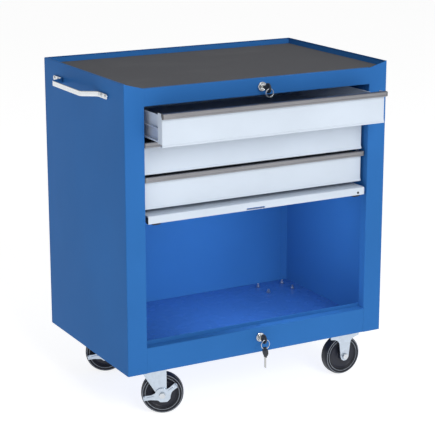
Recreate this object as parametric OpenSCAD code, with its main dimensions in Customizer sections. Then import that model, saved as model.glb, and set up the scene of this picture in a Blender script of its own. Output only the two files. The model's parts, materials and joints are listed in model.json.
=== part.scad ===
// Rolling tool chest: a sheet-steel cabinet with three drawers over an open compartment,
// a door that slides back under the drawers, and two braked swivel and two fixed casters.
//
// Every module is drawn in the cabinet's own frame: X across with 0 on the centre line,
// Y from the front face towards the back, Z up from the cabinet's lower edge.
// placed() then moves it all so that the origin is on the floor, in the middle of the
// chest's overall box. Millimetres.

/* [Cabinet] */
// Width over the side panels
body_w = 680; // [560:1:900]
// Depth from the front face to the back panel
body_d = 435; // [360:1:560]
// Height of the cabinet without its casters
body_h = 661; // [540:1:700]
// Height of the cabinet's lower edge above the floor
base_h = 120; // [105:1:170]
// Thickness of the steel sheet
sheet = 1.2; // [0.8:0.1:1.6]
// Width of each front stile
stile_w = 48; // [40:1:70]
// Depth of the returns behind the front frame
jamb_d = 24; // [22:1:40]
// Height of the rail under the compartment
bottom_rail_h = 60; // [52:1:90]
// Height of the door stop behind the bottom rail
stop_lip_h = 9; // [6:1:14]
// Height of the rail over the top drawer
top_rail_h = 39; // [36:1:60]
// Height of the rim above the front rail
rim_rise = 13; // [8:1:30]
// Width of the folded edge on the rim
hem_w = 3.5; // [3:0.5:8]
// Thickness of the rubber mat
mat_t = 3; // [2:0.5:6]
// Height of the compartment floor above the cabinet's lower edge
pan_rise = 12; // [8:1:20]

/* [Drawers] */
// Height of a drawer front
front_h = 74; // [60:1:80]
// Gap above and below a drawer front
front_gap = 4; // [3:0.5:8]
// Gap at each side of a drawer front
front_side_gap = 6.5; // [4:0.5:12]
// Depth of a closed front behind the face of the frame
front_recess = 18; // [12:1:30]
// Height of a drawer's front over its sides
tray_rise = 14; // [12:1:26]
// Height of the grip rail on a front
grip_h = 12; // [9:1:18]
// How far the grip rail stands out of its front
grip_out = 9; // [6:1:12]
// How far a drawer runs out
drawer_travel = 260; // [180:1:270]
// How far the top drawer stands open at rest
top_drawer_out = 89; // [0:1:150]

/* [Runners] */
// Thickness of a ball runner from tray to cabinet
runner_t = 13; // [12:0.5:16]
// Height of the cabinet member
outer_runner_h = 42; // [36:1:46]
// Height of the drawer member
inner_runner_h = 28; // [22:1:30]
// Running gap round the balls
ball_gap = 0.3; // [0.2:0.05:0.5]

/* [Door] */
// Gap between the lowest drawer and the door
door_gap = 11; // [9:1:20]
// Depth of the door's folded edges
door_edge = 18.5; // [16:0.5:24]
// Gap at each side of the door
door_side_gap = 7; // [5:0.5:12]
// Radius of the nylon sliders in their slots
slider_r = 7; // [6:0.5:8]
// Radius of the door's pivot studs
stud_r = 4; // [3:0.5:5]

/* [Side handle] */
// Distance between the handle's legs at the panel
handle_span = 197; // [130:1:260]
// How far each leg leans in towards the grip
handle_lean = 21; // [0:1:30]
// How far the handle stands out of the panel
handle_out = 37; // [30:1:60]
// Height of the handle strip
handle_strip_h = 12; // [10:1:20]
// Thickness of the handle strip
handle_strip_t = 4; // [3:0.5:6]

/* [Locks] */
// Radius of the lock barrel
barrel_r = 9.5; // [8:0.5:10]
// Radius of the turning plug
plug_r = 6; // [5:0.5:7]
// Height of the door lock above the cabinet's lower edge
door_lock_z = 38; // [32:1:40]
// Depth of the drawer lock's axis under the front rail's top
drawer_lock_drop = 19; // [17:1:22]
// Length of the door lock's cam
door_cam_l = 42; // [36:1:48]

/* [Casters] */
// Diameter of a wheel
wheel_d = 98; // [80:1:105]
// Width of a wheel's tread
wheel_w = 28; // [22:1:32]
// Distance of a swivel caster's axis from the cabinet's left side
caster_inset_left = 80; // [70:1:120]
// Distance of a fixed caster's axis from the cabinet's right side
caster_inset_right = 72; // [60:1:120]
// Distance of a caster's axis from the front and back
caster_inset_y = 62; // [50:1:90]
// Trail of a swivel caster's axle behind its kingpin
trail = 32; // [15:1:35]
// Turn of the front swivel caster at rest
front_turn = -27; // [-180:1:180]
// Turn of the rear swivel caster at rest
rear_turn = -25; // [-180:1:180]

/* [Hidden] */
$fn = 48;

steel_blue = [0.16, 0.40, 0.68];
pale_grey = [0.84, 0.88, 0.93];
zinc = [0.72, 0.75, 0.78];

half = sheet / 2;
bend_r = 0.8 + half;      // bend radius of folded sheet, to the middle of its thickness
bend_steps = 5;           // flats in each bend
drawer_names = ["top", "middle", "bottom"];

// Front frame
half_w = body_w / 2;
opening_half = half_w - stile_w;
rail_top = body_h - rim_rise;
opening_top = rail_top - top_rail_h;
rail_flange = 9;
rail_return = 18;                      // depth of the bottom rail's lower return
side_return = 18;
jamb_return = 12;

// Top
deck_z = rail_top - mat_t - 1;         // upper face of the top tray's deck
deck_under = deck_z - sheet;
mat_edge_gap = 1;

// Drawers
front_half = opening_half - front_side_gap;
front_pitch = front_h + front_gap;
function front_z(n) = opening_top - front_gap - front_h - n * front_pitch;
function drawer_out(n) = n == 0 ? top_drawer_out : 0;
front_return = 20;
tray_h = front_h - tray_rise;
lip_flare = 2.4;
lip_h = 5;
tray_drop = 5;                         // underside of a tray above its front's lower edge
tray_half = opening_half - runner_t;
tray_front_y = front_recess + sheet;
tray_back_y = body_d - 20;
tray_hem = 4;

// Runners
runner_z = 25;                         // runner's centre above its front's lower edge
runner_y0 = front_recess + front_return + 4;
runner_l = tray_back_y - runner_y0 - 5;
flange_in = 7;                         // reach of the drawer member's flanges
flange_out = 9.5;                      // reach of the cabinet member's flanges
ball_room = (outer_runner_h - inner_runner_h) / 2 - sheet;
ball_r = ball_room / 2 - ball_gap;
ball_z = inner_runner_h / 2 + ball_room / 2;
ball_x = tray_half + 5.3;
ball_pitch = 14;
cage_t = 0.9;
cage_l = runner_l - drawer_travel - 4;
cage_y0 = runner_y0 + drawer_travel / 2 + 2;
cage_web_x = tray_half + 8.9;
cage_reach = 4;

// Door, lying back under the drawers
door_top = front_z(2) - door_gap;
door_half = opening_half - door_side_gap;
pivot_drop = 10;                       // pivot axis below the door's outer face
pivot_z = door_top - pivot_drop;
door_floor_gap = 2.5;
door_face_y = 0.5;
pivot_reach = pivot_z - bottom_rail_h - door_floor_gap;
pivot_y = door_face_y + pivot_reach;   // pivot with the door slid back
pivot_front_y = pivot_drop + 1;        // pivot with the door drawn forward
door_tail = 9;                         // door beyond its pivot
door_lip = 10;
slot_half = slider_r + ball_gap;
plate_bottom = pivot_z - slot_half - 7;
keeper_x = [-36, 12];                  // the slot for the lock cam in the door's edge
keeper_y = [13.8, 18];                // the same, with the door closed

// Side handle
handle_z = rail_top - 26;
handle_mid_y = body_d / 2 + 8.5;
handle_foot = 50;
handle_bend = 4;
handle_screw_r = 2.5;

// Locks
drawer_lock_z = rail_top - drawer_lock_drop;
barrel_back = 14.5;
bezel_out = 5;
cam_y = [15.3, 17.3];
keyway_back = 12;
peg_throw = 9;
peg_r = 1.5;
bar_drop = 2 * peg_throw * sin(45);
bar_half = 8;
bar_t = 2;
arm_z = deck_under - 28.8;             // underside of the lock bar's arm
arm_y0 = jamb_d + 2;
hook_rise = 14;                        // hook above a tray's side
hook_tip = 12;
bar_y = tray_back_y + 9;

// Keys
bow_r = 11.5;
bow_t = 3.2;
bow_hole_r = 3;
bow_gap = 3.5;                         // bow in front of the bezel
bow_y = -bezel_out - bow_gap - bow_r;
bow_hole_in = 4.8;                     // bow's hole in from its edge
ring_y = bow_y - bow_r + bow_hole_in;
ring_r = 11;
drawer_ring_r = 9.5;
drawer_key_out = 9;                    // the drawer lock's key stands out further
ring_wire = 0.8;
key_blade = [2, 19.5, 7];
spare_blade_l = 28;

// Casters, with Z up from the floor
swivel_x = caster_inset_left - half_w;
fixed_x = half_w - caster_inset_right;
caster_y = [caster_inset_y, body_d - caster_inset_y];
caster_h = base_h + pan_rise - sheet;
plate_size = [95, 67];
plate_t = 3;
bolt_pitch = [73, 53];
bolt_r = 3;
bolt_hole_r = 3.5;
bolt_tip = pan_rise + 11;
bolt_hex_r = 5.7;
bolt_head_h = 4;
bolt_nut_h = 5;
plate_under = caster_h - plate_t;
race_h = 5.3;
crown_r = 31;
crown_h = 7;
crown_top = plate_under - race_h - 0.5;
swivel_reach = caster_inset_y - rail_return - 1;   // of what turns beside the bottom rail
kingpin_r = 5;
fit = 0.06;                            // radial running clearance of a pin in its hole
wheel_r = wheel_d / 2;
hub_half = wheel_w / 2 + 3.5;
leg_in = hub_half + 0.5;
leg_t = 3;
leg_out = leg_in + leg_t;
leg_end_r = 10;
axle_hex_r = 7.5;
axle_hex_h = 5;
axle_r = 4;
lever_t = 2.5;
lever_y = -leg_out - 0.5 - lever_t;

// Overall box, for the origin
box_left = -half_w - handle_out;
box_front = front_recess - grip_out - top_drawer_out;
shift_x = -(box_left + half_w) / 2;
shift_y = -(box_front + body_d) / 2;

// ---- Frames and outlines -------------------------------------------------------------

module placed() {
    translate([shift_x, shift_y, base_h]) children();
}

// Extrudes an outline drawn in (Y, Z) along X.
module run_x(x0, x1) {
    translate([x0, 0, 0]) rotate([90, 0, 90]) linear_extrude(x1 - x0) children();
}

// Extrudes an outline drawn in (X, Z) along Y.
module run_y(y0, y1) {
    translate([0, y1, 0]) rotate([90, 0, 0]) linear_extrude(y1 - y0) children();
}

// Extrudes an outline drawn in (X, Y) along Z.
module run_z(z0, z1) {
    translate([0, 0, z0]) linear_extrude(z1 - z0) children();
}

// A box from its lowest to its highest corner.
module block(low, high) {
    translate(low) cube(high - low);
}

// A round bar along X, Y or Z from its middle line and its two ends.
module bar_x(x0, x1, y, z, r) {
    translate([x0, y, z]) rotate([0, 90, 0]) cylinder(r = r, h = x1 - x0);
}

module bar_y(y0, y1, x, z, r) {
    translate([x, y0, z]) rotate([-90, 0, 0]) cylinder(r = r, h = y1 - y0);
}

module both_sides() {
    children();
    mirror([1, 0, 0]) children();
}

function unit(v) = v / norm(v);
function left_of(v) = [-v[1], v[0]];
function turned(v, a) = [v[0] * cos(a) - v[1] * sin(a), v[0] * sin(a) + v[1] * cos(a)];
function turn_angle(u, v) = atan2(u[0] * v[1] - u[1] * v[0], u[0] * v[0] + u[1] * v[1]);

// Point and left-hand normal at each station of one bend of a folded sheet.
function bend_stations(before, corner, after, r) =
    let (u = unit(corner - before), a = turn_angle(u, unit(after - corner)), s = sign(a))
    let (start = corner - u * r * tan(abs(a) / 2), centre = start + left_of(u) * r * s)
    [for (k = [0:bend_steps])
        let (n = left_of(turned(u, a * k / bend_steps))) [centre - n * r * s, n]];

// Point and left-hand normal at each station of a folded sheet that follows a path.
function stations(path, r) =
    let (last = len(path) - 1)
    concat(
        [[path[0], left_of(unit(path[1] - path[0]))]],
        [for (i = [1:last - 1])
            each bend_stations(path[i - 1], path[i], path[i + 1], r)],
        [[path[last], left_of(unit(path[last] - path[last - 1]))]]);

// Cross-section of a sheet folded along a path, with round bends.
module fold(path, t = sheet, r = bend_r) {
    s = stations(path, r);
    polygon(concat(
        [for (p = s) p[0] + p[1] * t / 2],
        [for (i = [len(s) - 1:-1:0]) s[i][0] - s[i][1] * t / 2]));
}

// Where a line from a point touches a circle, on its left (1) or right (-1) side.
function touch(p, c, r, side) =
    let (v = p - c, a = atan2(v[1], v[0]) + side * acos(r / norm(v)))
    c + r * [cos(a), sin(a)];

// ---- Cabinet -------------------------------------------------------------------------

// Side wall with its front stile, the return behind the stile and a rear return.
module side_panel() {
    wall_x = half_w - half;
    stile_x = opening_half + half;
    difference() {
        run_z(0, body_h) fold([
            [-wall_x + side_return + half, body_d - sheet - half],
            [-wall_x, body_d - sheet - half],
            [-wall_x, half],
            [-stile_x, half],
            [-stile_x, jamb_d - half],
            [-stile_x - jamb_return, jamb_d - half]]);
        // the stile's sloping top
        run_y(-1, jamb_d + 1) polygon([
            [-half_w + 2.6, body_h + 1],
            [-half_w + 2.6, body_h - rim_rise * 2.6 / stile_w],
            [-opening_half + 1, rail_top - rim_rise / stile_w],
            [-opening_half + 1, body_h + 1]]);
        // room for the rolled rim and for the top tray
        block([-half_w - 1, 2.6, body_h - 4], [-half_w + sheet + 0.9, body_d + 1, body_h + 1]);
        block([-half_w + sheet, body_d - 3 * sheet, deck_under],
              [-half_w + side_return + 3, body_d, body_h + 1]);
        // the returns are cut away behind both rails
        for (z = [[-1, bottom_rail_h], [opening_top, body_h + 1]])
            block([-opening_half - jamb_return - 3, sheet, z[0]],
                  [-opening_half + 1, jamb_d + 1, z[1]]);
        door_slot(pivot_front_y);
        // room for the sliders' outer collars
        block([-opening_half - jamb_return - 3, jamb_d - 3 * sheet, pivot_z - slot_half - 1.5],
              [-opening_half - sheet - 0.01, jamb_d + 1, pivot_z + slot_half + 1.5]);
    }
    // flat ends of the stile where the rails meet it
    block([-opening_half - 3, 0, 0], [-opening_half, sheet, bottom_rail_h]);
    block([-opening_half - 3, 0, opening_top], [-opening_half, sheet, rail_top]);
    // rolled rim
    run_y(2.6, body_d - sheet) fold([
        [-wall_x, body_h - 4.5],
        [-wall_x, body_h - half],
        [-half_w + hem_w, body_h - half]]);
}

// The long slot that guides a slider, cut through the jamb and the inner plate.
module door_slot(front_y) {
    block([-opening_half - sheet - 0.5, front_y, pivot_z - slot_half],
          [-opening_half + 1, pivot_y, pivot_z + slot_half]);
    for (y = [front_y, pivot_y])
        bar_x(-opening_half - sheet - 0.5, -opening_half + 1, y, pivot_z, slot_half);
}

module left_side_panel() {
    color(steel_blue) placed() difference() {
        side_panel();
        for (s = [-1, 1], y = handle_screw_ys(s))
            bar_x(-half_w - 1, -half_w + sheet + 1, y, handle_z, handle_screw_r + 0.1);
    }
}

module right_side_panel() {
    color(steel_blue) placed() mirror([1, 0, 0]) side_panel();
}

module back_panel() {
    color(steel_blue) placed() {
        block([-half_w, body_d - sheet, 0], [half_w, body_d, body_h - sheet]);
        run_x(-half_w + hem_w, half_w - hem_w) fold([
            [body_d - half, body_h - 8],
            [body_d - half, body_h - half],
            [body_d - hem_w, body_h - half]]);
    }
}

// Deck of the work surface, with an upstand at each side and at the back.
module top_tray() {
    wall = half_w - sheet;
    rim = body_h - 2 * sheet;
    back = body_d - 2 * sheet;
    color(steel_blue) placed() {
        run_y(sheet, back) fold([
            [-wall + half, rim], [-wall + half, deck_z - half],
            [wall - half, deck_z - half], [wall - half, rim]]);
        block([-wall, back, deck_under], [wall, back + sheet, rim]);
    }
}

module top_mat() {
    inner = half_w - 2 * sheet - mat_edge_gap;
    color([0.27, 0.27, 0.29]) placed()
        block([-inner, rail_flange + mat_edge_gap, deck_z],
              [inner, body_d - 2 * sheet - mat_edge_gap - 0.5, deck_z + mat_t]);
}

module top_rail() {
    color(steel_blue) placed() difference() {
        run_x(-opening_half, opening_half) fold([
            [rail_flange, rail_top - half],
            [half, rail_top - half],
            [half, opening_top + half],
            [jamb_d, opening_top + half]]);
        bar_y(-1, sheet + 1, 0, drawer_lock_z, barrel_r + 0.05);
    }
}

// Bottom rail: a lower flange, the face, the ledge under the door and the door stop.
module bottom_rail() {
    color(steel_blue) placed() difference() {
        run_x(-opening_half, opening_half) fold([
            [rail_return, half],
            [half, half],
            [half, bottom_rail_h - half],
            [jamb_d - half, bottom_rail_h - half],
            [jamb_d - half, bottom_rail_h + stop_lip_h]]);
        bar_y(-1, sheet + 1, 0, door_lock_z, barrel_r + 0.05);
        block([keeper_x[0] - 2, keeper_y[0] - 0.3, bottom_rail_h - 2 * sheet],
              [keeper_x[1], keeper_y[1] + 0.3, bottom_rail_h + 1]);
    }
}

// Compartment floor, with a flange down at each edge and holes for the caster bolts.
module floor_pan() {
    x = half_w - sheet;
    y = body_d - 2 * sheet;
    under = pan_rise - sheet;
    flange_z = 2.5;
    relief = 2;
    color(steel_blue) placed() difference() {
        block([-x, sheet, flange_z], [x, y, pan_rise]);
        block([-x + sheet, 2 * sheet, flange_z - 1], [x - sheet, y - sheet, under]);
        both_sides() {
            block([-x - 1, 0, 0], [-x + relief, sheet + relief, pan_rise + 1]);
            block([-x - 1, y - relief, 0], [-x + relief, y + 1, pan_rise + 1]);
        }
        at_casters() caster_bolt_places()
            translate([0, 0, base_h - 1]) cylinder(r = bolt_hole_r, h = pan_rise + 2);
    }
}

// Upright that carries the drawer runners and guides the door's sliders.
module inner_plate() {
    x = opening_half + half;
    difference() {
        run_z(plate_bottom, deck_under) fold([
            [-x - jamb_return, jamb_d + half],
            [-x, jamb_d + half],
            [-x, body_d - sheet - half],
            [-x - jamb_return, body_d - sheet - half]]);
        door_slot(jamb_d - 2);
        block([-x - jamb_return - 3, jamb_d - 1, pivot_z - slot_half - 1.5],
              [-opening_half - sheet - 0.01, jamb_d + 3 * sheet, pivot_z + slot_half + 1.5]);
    }
}

module left_inner_plate() {
    color(steel_blue) placed() inner_plate();
}

module right_inner_plate() {
    color(steel_blue) placed() mirror([1, 0, 0]) inner_plate();
}

// ---- Runners -------------------------------------------------------------------------

module cabinet_runners() {
    x = opening_half - half;
    z = outer_runner_h / 2 - half;
    color(zinc) placed() both_sides() for (n = [0:2])
        translate([0, 0, front_z(n) + runner_z])
            run_y(runner_y0, runner_y0 + runner_l) fold([
                [-opening_half + flange_out, z], [-x, z],
                [-x, -z], [-opening_half + flange_out, -z]]);
}

module drawer_runners(n) {
    x = tray_half + half;
    z = inner_runner_h / 2 - half;
    color(zinc) placed() both_sides()
        translate([0, -drawer_out(n), front_z(n) + runner_z])
            run_y(runner_y0 - 2, runner_y0 - 2 + runner_l) fold([
                [-tray_half - flange_in, z], [-x, z],
                [-x, -z], [-tray_half - flange_in, -z]]);
}

// Ball cage at each side: a folded strip with a row of balls above and below.
module ball_cages(n) {
    balls = floor((cage_l - 2 * ball_r) / ball_pitch);
    first = (cage_l - (balls - 1) * ball_pitch) / 2;
    color(zinc) placed() both_sides()
        translate([0, cage_y0 - drawer_out(n) / 2, front_z(n) + runner_z]) {
            difference() {
                run_y(0, cage_l) fold([
                    [-cage_web_x + cage_reach + 1, ball_z], [-cage_web_x, ball_z],
                    [-cage_web_x, -ball_z], [-cage_web_x + cage_reach + 1, -ball_z]],
                    cage_t, 1);
                for (k = [0:balls - 1])
                    translate([-ball_x, first + k * ball_pitch, -ball_z - 2])
                        cylinder(r = ball_r - 0.1, h = 2 * ball_z + 4);
            }
            for (k = [0:balls - 1], s = [-1, 1])
                translate([-ball_x, first + k * ball_pitch, s * ball_z]) sphere(r = ball_r);
        }
}

// ---- Drawers -------------------------------------------------------------------------

// Folded front: a return at each side, and a lower lip that flares out and turns back.
module drawer_front(n) {
    x = front_half - half;
    y = front_recess + half;
    color(pale_grey) placed() translate([0, -drawer_out(n), front_z(n)]) {
        run_z(lip_h + 1, front_h - sheet) fold([
            [-x, front_recess + front_return], [-x, y], [x, y], [x, front_recess + front_return]]);
        run_x(-front_half, front_half) fold([
            [y, lip_h + 2],
            [y, lip_h],
            [y - lip_flare, half],
            [front_recess + 14, half]], sheet, 1.1);
    }
}

// Tray: floor, sides with rolled top edges, and a front and a back wall.
module drawer_tray(n) {
    x = tray_half - half;
    top = tray_drop + tray_h;
    color(pale_grey) placed() translate([0, -drawer_out(n), front_z(n)]) {
        run_y(tray_front_y, tray_back_y) fold([
            [-tray_half + tray_hem, top - half], [-x, top - half],
            [-x, tray_drop + half], [x, tray_drop + half],
            [x, top - half], [tray_half - tray_hem, top - half]]);
        for (y = [tray_front_y, tray_back_y - sheet])
            block([-x, y, tray_drop + half], [x, y + sheet, top]);
    }
}

// Grip rail: over the top of the front, down in front of it and in again at the foot.
module drawer_grip(n) {
    y = front_recess - grip_out + half;
    color([0.62, 0.62, 0.64]) placed() translate([0, -drawer_out(n), front_z(n) + front_h])
        run_x(-front_half - 2.5, front_half + 2.5) fold([
            [front_recess + sheet, -half],
            [y, -half],
            [y, -grip_h + half],
            [y + 3.6, -grip_h + half]]);
}

// ---- Door ----------------------------------------------------------------------------

// Door lying back, its outer face up: a shallow tray that opens downwards. Its front edge
// has the folded edge and the inner lip that the lock's cam catches.
module door_panel() {
    x = door_half;
    z = door_top - half;
    back = pivot_y + door_tail;
    keeper_z = [door_top + 1 - keeper_y[1], door_top + 1 - keeper_y[0]];
    color(pale_grey) placed() difference() {
        union() {
            run_x(-x, x) fold([
                [door_face_y + door_lip, door_top - door_edge + half],
                [door_face_y + half, door_top - door_edge + half],
                [door_face_y + half, z],
                [back - half, z],
                [back - half, door_top - 8]]);
            both_sides()
                block([-x, door_face_y + sheet, door_top - door_edge + 1.8],
                      [-x + sheet, back - sheet, z]);
        }
        both_sides() bar_x(-x - 1, -x + sheet + 1, pivot_y, pivot_z, stud_r + 0.02);
        block([keeper_x[0], door_face_y - 1, keeper_z[0]],
              [keeper_x[1], door_face_y + sheet + 0.1, keeper_z[1]]);
        bar_y(door_face_y - 1, door_face_y + 2 * sheet, door_half - 17, door_top - 12.5, 3);
    }
}

// Studs fixed in the door's side edges; each one turns in a slider.
module door_pivot_studs() {
    x = door_half;
    color(zinc) placed() both_sides() {
        bar_x(-opening_half - sheet - 4.2, -x + sheet + 0.3, pivot_y, pivot_z, stud_r);
        bar_x(-x + sheet + 0.1, -x + sheet + 2.6, pivot_y, pivot_z, stud_r + 2.5);
    }
}

// Nylon slider: a round body in the slot, with a collar on each side of the plate.
module door_sliders() {
    inner = door_half + 0.4;
    plate_in = opening_half - 0.4;
    plate_out = opening_half + sheet + 0.4;
    end = plate_out + 3;
    color([0.12, 0.12, 0.13]) placed() both_sides() difference() {
        union() {
            bar_x(-end, -inner, pivot_y, pivot_z, slider_r);
            bar_x(-plate_in, -inner, pivot_y, pivot_z, slider_r + 1);
            bar_x(-end, -plate_out, pivot_y, pivot_z, slider_r + 1);
        }
        bar_x(-end - 1, -inner + 1, pivot_y, pivot_z, stud_r + fit);
    }
}

// Rubber bumpers on the door's edge, which meet the door stop when it is closed.
module door_bumpers() {
    z = door_top - door_edge;
    color([0.1, 0.1, 0.11]) placed() both_sides()
        block([-door_half + 12, door_face_y + 1, z - 3], [-door_half + 30, door_face_y + 7, z]);
}

// ---- Side handle ---------------------------------------------------------------------

function handle_screw_ys(side) =
    let (leg = handle_mid_y + side * handle_span / 2)
    [leg + side * (handle_foot * 0.42), leg + side * (handle_foot * 0.82)];

// One flat strip: a foot on the panel, a leaning leg, the grip, a leg back and a foot.
module side_handle() {
    foot = -half_w - handle_strip_t / 2;
    grip = -half_w - handle_out + handle_strip_t / 2;
    front = handle_mid_y - handle_span / 2;
    back = handle_mid_y + handle_span / 2;
    color([0.82, 0.84, 0.86]) placed() difference() {
        run_z(handle_z - handle_strip_h / 2, handle_z + handle_strip_h / 2) fold([
            [foot, front - handle_foot], [foot, front], [grip, front + handle_lean],
            [grip, back - handle_lean], [foot, back], [foot, back + handle_foot]],
            handle_strip_t, handle_bend);
        for (s = [-1, 1], y = handle_screw_ys(s))
            bar_x(-half_w - handle_strip_t - 1, -half_w + 1, y, handle_z, handle_screw_r + 0.1);
    }
}

module handle_screws() {
    color(zinc) placed() for (s = [-1, 1], y = handle_screw_ys(s)) {
        bar_x(-half_w - handle_strip_t - 0.2, -half_w + 8, y, handle_z, handle_screw_r);
        translate([-half_w - handle_strip_t, y, handle_z]) rotate([0, -90, 0])
            intersection() {
                cylinder(r = 4.6, h = 2.4);
                translate([0, 0, -4.2]) sphere(r = 6.4);
            }
    }
}

// ---- Locks ---------------------------------------------------------------------------

// Barrel with its bezel in front of the rail and a round nut behind it.
module lock_barrel(z) {
    color(zinc) placed() difference() {
        union() {
            bar_y(-bezel_out, barrel_back, 0, z, barrel_r);
            translate([0, -bezel_out, z]) rotate([-90, 0, 0])
                cylinder(r1 = barrel_r, r2 = barrel_r + 1.5, h = bezel_out);
            translate([0, sheet, z]) rotate([-90, 0, 0]) cylinder(r = barrel_r + 4, h = 5, $fn = 6);
        }
        bar_y(-bezel_out - 1, barrel_back + 1, 0, z, plug_r + fit);
    }
}

// Plug with its keyway, and a spigot with a peened head that holds the cam.
module lock_plug(z) {
    color([0.78, 0.79, 0.8]) placed() difference() {
        union() {
            bar_y(-bezel_out + 0.4, cam_y[0], 0, z, plug_r);
            bar_y(cam_y[0] - 1, cam_y[1] + 1, 0, z, 3);
            bar_y(cam_y[1], cam_y[1] + 1.2, 0, z, 4.6);
        }
        block([-1.1, -bezel_out - 1, z - 3.75], [1.1, keyway_back, z + 3.75]);
    }
}

// Round bow of a key in the Y-Z plane, with its ring hole.
module key_bow(z) {
    difference() {
        union() {
            bar_x(-bow_t / 2, bow_t / 2, bow_y, z, bow_r);
            block([-bow_t / 2, bow_y, z - 5], [bow_t / 2, bow_y + bow_r + 2, z + 5]);
        }
        bar_x(-bow_t, bow_t, ring_y, z, bow_hole_r);
    }
}

module lock_key(z, out = 0) {
    color([0.1, 0.1, 0.11]) placed() {
        translate([0, -out, 0]) key_bow(z);
        block([-key_blade[0] / 2, bow_y + bow_r - out, z - key_blade[2] / 2],
              [key_blade[0] / 2, bow_y + bow_r + key_blade[1], z + key_blade[2] / 2]);
    }
}

// Split ring that hangs from the hole in a key's bow.
module key_ring(z, r = ring_r, out = 0) {
    color(zinc) placed() translate([0, ring_y - out, z - r]) rotate([90, 0, 0])
        rotate_extrude() translate([r, 0]) circle(r = ring_wire, $fn = 24);
}

// Cam of the drawer lock: a short crank whose peg moves the lock bar.
module drawer_lock_cam() {
    peg = peg_throw * sin(45);
    color(zinc) placed() translate([0, 0, drawer_lock_z]) difference() {
        union() {
            run_y(cam_y[0], cam_y[1]) {
                circle(r = 5.5);
                rotate(135) translate([0, -3.5]) square([peg_throw, 7]);
                translate([-peg, peg]) circle(r = 3.5);
            }
            bar_y(cam_y[0], arm_y0 + bar_t + 1, -peg, peg, peg_r);
        }
        bar_y(cam_y[0] - 1, cam_y[1] + 1, 0, 0, 3.03);
    }
}

// Cam of the door lock, lying sideways; it stands up behind the door's lip when turned.
module door_lock_cam() {
    color(zinc) placed() translate([0, 0, door_lock_z]) difference() {
        run_y(cam_y[0], cam_y[1]) {
            circle(r = 6.5);
            translate([-door_cam_l + 5, -5]) square([door_cam_l - 5, 10]);
            translate([-door_cam_l + 5, 0]) circle(r = 5);
        }
        bar_y(cam_y[0] - 1, cam_y[1] + 1, 0, 0, 3.03);
    }
}

// Lock bar: a yoke at the front, an arm under the deck and an upright behind the drawers
// with a hook over each tray's back wall.
module drawer_lock_bar() {
    peg = peg_throw * sin(45);
    slot_r = peg_r + 1;
    bar_low = front_z(2) + tray_drop + tray_h + hook_rise;
    color(zinc) placed() {
        difference() {
            block([-16, arm_y0, arm_z], [bar_half, arm_y0 + bar_t, deck_under - 1.5]);
            block([-peg_throw, arm_y0 - 1, drawer_lock_z + peg - slot_r],
                  [-peg, arm_y0 + bar_t + 1, drawer_lock_z + peg + slot_r]);
            for (x = [-peg_throw - 0.5, -peg + 0.5])
                bar_y(arm_y0 - 1, arm_y0 + bar_t + 1, x, drawer_lock_z + peg, slot_r);
        }
        block([-bar_half, arm_y0, arm_z], [bar_half, bar_y + bar_t, arm_z + bar_t]);
        block([-bar_half, bar_y, bar_low], [bar_half, bar_y + bar_t, arm_z + bar_t]);
        for (n = [0:2]) translate([0, 0, front_z(n) + tray_drop + tray_h + hook_rise]) {
            block([-bar_half, tray_back_y - 9, 0], [bar_half, bar_y + bar_t, bar_t]);
            block([-bar_half, tray_back_y - 9, -hook_tip + bar_t],
                  [bar_half, tray_back_y - 7, bar_t]);
        }
    }
}

module door_spare_key() {
    hole_z = door_lock_z - 2 * ring_r;
    bow_z = hole_z - bow_r + bow_hole_in;
    color([0.1, 0.1, 0.11]) placed() {
        difference() {
            union() {
                bar_x(-bow_t / 2, bow_t / 2, ring_y, bow_z, bow_r);
                block([-bow_t / 2, ring_y - 5, bow_z - bow_r - 2], [bow_t / 2, ring_y + 5, bow_z]);
            }
            bar_x(-bow_t, bow_t, ring_y, hole_z, bow_hole_r);
        }
        block([-key_blade[0] / 2, ring_y - key_blade[2] / 2, bow_z - bow_r - spare_blade_l],
              [key_blade[0] / 2, ring_y + key_blade[2] / 2, bow_z - bow_r]);
    }
}

// ---- Casters -------------------------------------------------------------------------

// Puts children at all four casters' axes, from the floor up.
module at_casters() {
    for (x = [swivel_x, fixed_x], y = caster_y) translate([x, y, -base_h]) children();
}

// Puts children at one caster's axis, turned by its angle.
module at_caster(x, y, turn = 0) {
    placed() translate([x, y, -base_h]) rotate([0, 0, turn]) children();
}

module caster_bolt_places() {
    for (x = [-0.5, 0.5] * bolt_pitch[0], y = [-0.5, 0.5] * bolt_pitch[1])
        translate([x, y, 0]) children();
}

module plate_blank() {
    r = 7;
    translate([0, 0, plate_under]) linear_extrude(plate_t) {
        square([plate_size[0] - 2 * r, plate_size[1]], center = true);
        square([plate_size[0], plate_size[1] - 2 * r], center = true);
        for (x = [-1, 1], y = [-1, 1])
            translate([x * (plate_size[0] / 2 - r), y * (plate_size[1] / 2 - r)]) circle(r = r);
    }
}

module bolt_holes() {
    caster_bolt_places() translate([0, 0, plate_under - 1])
        cylinder(r = bolt_hole_r, h = plate_t + 2);
}

// Swivel plate: the mounting plate with its race and the riveted kingpin.
module swivel_plate() {
    race_z = plate_under - race_h;
    head_top = crown_top - crown_h - 0.5;
    color(zinc) difference() {
        union() {
            plate_blank();
            translate([0, 0, race_z]) cylinder(r1 = crown_r - 4, r2 = crown_r, h = race_h);
            translate([0, 0, head_top - 1]) cylinder(r = kingpin_r, h = race_z - head_top + 2);
            translate([0, 0, head_top - 3]) cylinder(r = kingpin_r + 4, h = 3);
        }
        bolt_holes();
    }
}

// Puts an outline in (X, Z) on both legs of a fork; set_in brings its outer face inwards.
module on_legs(set_in = 0) {
    for (s = [-1, 1])
        run_y(s > 0 ? leg_in : set_in - leg_out, s > 0 ? leg_out - set_in : -leg_in) children();
}

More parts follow.
